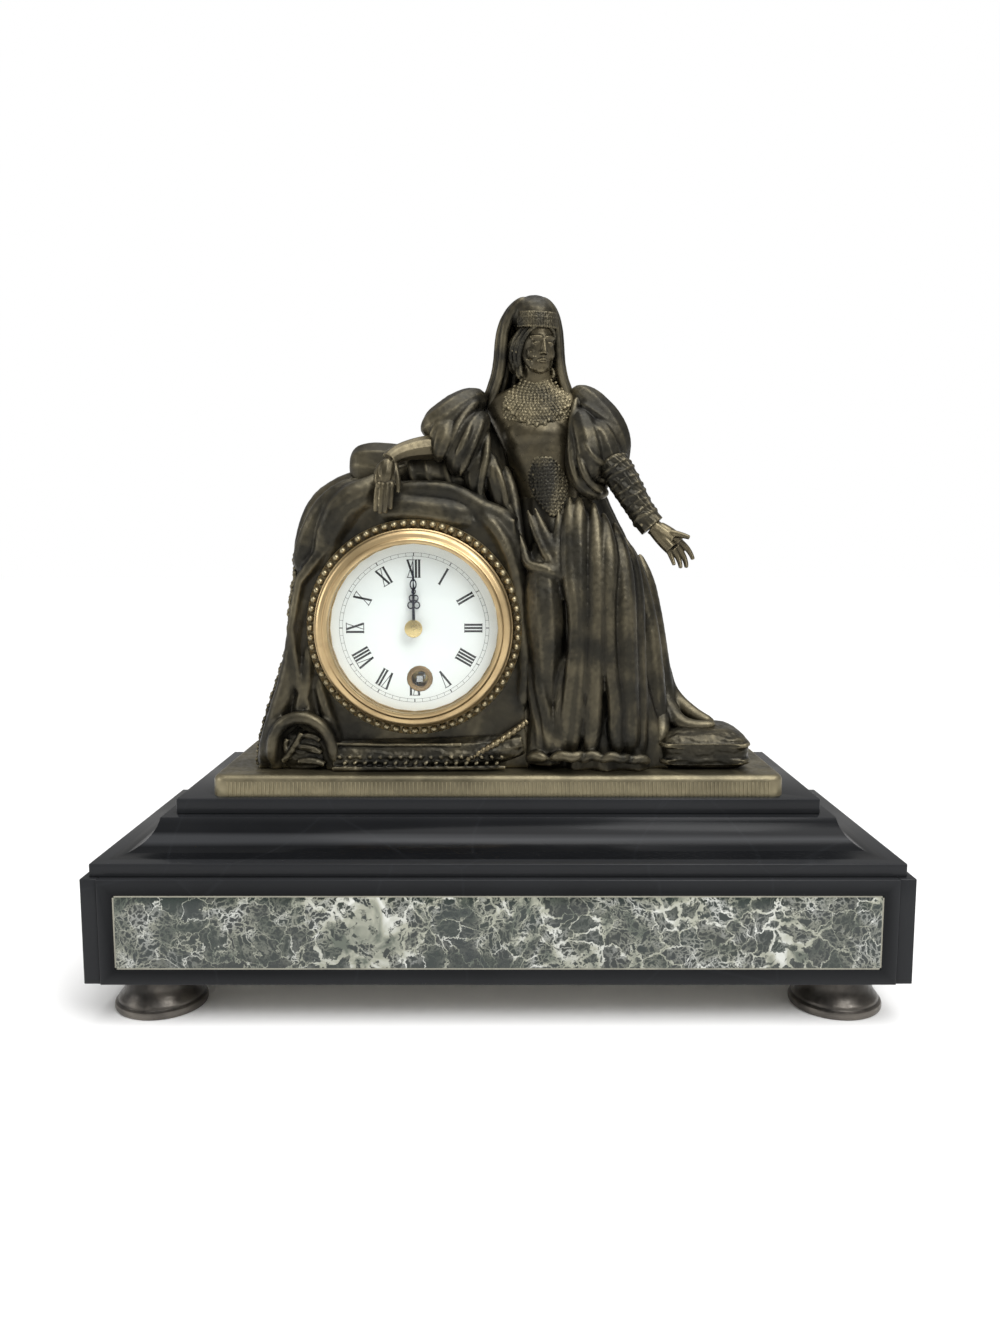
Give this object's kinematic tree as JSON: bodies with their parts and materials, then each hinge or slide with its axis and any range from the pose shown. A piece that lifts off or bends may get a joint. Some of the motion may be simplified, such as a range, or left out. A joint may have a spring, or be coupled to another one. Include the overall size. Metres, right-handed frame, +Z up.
{
  "type": "figural clock",
  "caption": "Mantel clock: bronze robed woman leaning on a draped drum case with a white dial, on a stepped black slate plinth with a marble inlay.",
  "frame": {"origin": "middle of the footprint, on the surface that the feet stand on", "axes": "+X to the viewer's right along the plinth, -Y out of the dial, +Z up"},
  "size_m": [0.42, 0.164, 0.3785],
  "materials": {
    "slate": "polished black slate with fine grey veins",
    "marble": "polished dark green breccia marble with cream veins",
    "plaster": "rough stone and plaster filling",
    "bronze": "patinated bronze with rubbed highlights",
    "base_bronze": "olive gilt bronze",
    "foot_bronze": "dark patinated bronze",
    "gilt": "satin gilt brass",
    "bead_bronze": "rubbed bronze",
    "enamel": "white vitreous enamel",
    "glass": "clear flat glass",
    "brass": "grained brass",
    "steel": "polished steel",
    "blued_steel": "blued steel",
    "iron": "blackened iron"
  },
  "bodies": {
    "root": {"front_slab": "slate", "side_slab_left": "slate", "side_slab_right": "slate", "back_slab": "slate", "deck_slab": "slate", "cavetto_moulding": "slate", "top_slab": "slate", "marble_inlay": "marble", "plinth_core": "plaster", "tie_rods": "iron", "foot_front_left": "foot_bronze", "foot_front_right": "foot_bronze", "foot_back_left": "foot_bronze", "foot_back_right": "foot_bronze", "base_plate": "base_bronze", "train_cushion": "bronze", "arm_cushion": "bronze", "clock_case": "bronze", "skirt": "bronze", "bodice": "bronze", "head": "bronze", "veil": "bronze", "leaning_arm": "bronze", "reaching_arm": "bronze", "mantle": "bronze", "beaded_ring": "bead_bronze", "dial_ring": "gilt", "enamel_dial": "enamel", "winding_collet": "brass", "rear_ring": "brass", "front_plate": "brass", "back_plate": "brass", "platform_plate": "brass", "platform_cocks": "brass", "movement_straps": "brass", "hinge_pins": "steel", "pillars": "steel", "movement_nuts": "steel", "click_spring": "steel", "hairspring": "blued_steel"},
    "bezel": {"bezel": "gilt", "bezel_glass": "glass"},
    "rear_door": {"rear_door": "brass"},
    "centre_arbor": {"centre_wheel": "brass", "cannon_pinion": "brass", "minute_hand": "blued_steel", "hand_collet": "brass"},
    "hour_wheel": {"hour_wheel": "brass", "hour_hand": "blued_steel"},
    "minute_wheel": {"minute_wheel": "brass"},
    "intermediate_wheel": {"intermediate_wheel": "brass"},
    "barrel": {"barrel": "brass", "mainspring": "steel"},
    "third_wheel": {"third_wheel": "brass"},
    "fourth_wheel": {"fourth_wheel": "brass"},
    "escape_wheel": {"escape_wheel": "brass"},
    "winding_arbor": {"winding_arbor": "steel", "ratchet_wheel": "steel"},
    "click": {"click": "steel"},
    "balance": {"balance_wheel": "brass"}
  },
  "joints": [
    {"name": "bezel_hinge", "type": "hinge", "parent": "root", "child": "bezel", "pos_m": [-0.0958, -0.0296, 0.1985], "axis": [0, 0, -1], "range_deg": [0, 95]},
    {"name": "rear_door_hinge", "type": "hinge", "parent": "root", "child": "rear_door", "pos_m": [-0.095, 0.05, 0.1985], "axis": [0, 0, 1], "range_deg": [0, 120]},
    {"name": "minute_spin", "type": "hinge", "parent": "root", "child": "centre_arbor", "pos_m": [-0.0453, 0, 0.1985], "axis": [0, 1, 0], "continuous": true},
    {"name": "hour_spin", "type": "hinge", "parent": "root", "child": "hour_wheel", "pos_m": [-0.0453, 0, 0.1985], "axis": [0, 1, 0], "continuous": true},
    {"name": "minute_wheel_spin", "type": "hinge", "parent": "root", "child": "minute_wheel", "pos_m": [-0.05282, 0, 0.19576], "axis": [0, 1, 0], "continuous": true},
    {"name": "intermediate_spin", "type": "hinge", "parent": "root", "child": "intermediate_wheel", "pos_m": [-0.04782, 0, 0.18524], "axis": [0, 1, 0], "continuous": true},
    {"name": "barrel_spin", "type": "hinge", "parent": "root", "child": "barrel", "pos_m": [-0.0425, 0, 0.171], "axis": [0, 1, 0], "continuous": true},
    {"name": "third_spin", "type": "hinge", "parent": "root", "child": "third_wheel", "pos_m": [-0.03535, 0, 0.20547], "axis": [0, 1, 0], "continuous": true},
    {"name": "fourth_spin", "type": "hinge", "parent": "root", "child": "fourth_wheel", "pos_m": [-0.0407, 0, 0.21474], "axis": [0, 1, 0], "continuous": true},
    {"name": "escape_spin", "type": "hinge", "parent": "root", "child": "escape_wheel", "pos_m": [-0.05028, 0, 0.21643], "axis": [0, 1, 0], "continuous": true},
    {"name": "winding_spin", "type": "hinge", "parent": "root", "child": "winding_arbor", "pos_m": [-0.0425, 0, 0.171], "axis": [0, 1, 0], "range_deg": [0, 1800]},
    {"name": "click_pivot", "type": "hinge", "parent": "root", "child": "click", "pos_m": [-0.03027, 0, 0.17671], "axis": [0, 1, 0], "range_deg": [0, 10], "stiffness_Nm_per_rad": 0.002},
    {"name": "balance_swing", "type": "hinge", "parent": "root", "child": "balance", "pos_m": [-0.05648, 0, 0.21418], "axis": [0, 1, 0], "range_deg": [-170, 170], "stiffness_Nm_per_rad": 0.000002, "deforming": ["hairspring"]}
  ],
  "couplings": [
    {"joint": "hour_spin", "follows": "minute_spin", "ratio": 0.083333},
    {"joint": "minute_wheel_spin", "follows": "minute_spin", "ratio": -0.33333},
    {"joint": "intermediate_spin", "follows": "minute_spin", "ratio": -0.125},
    {"joint": "barrel_spin", "follows": "minute_spin", "ratio": 0.03125},
    {"joint": "third_spin", "follows": "minute_spin", "ratio": -8},
    {"joint": "fourth_spin", "follows": "minute_spin", "ratio": 60},
    {"joint": "escape_spin", "follows": "minute_spin", "ratio": -480}
  ]
}
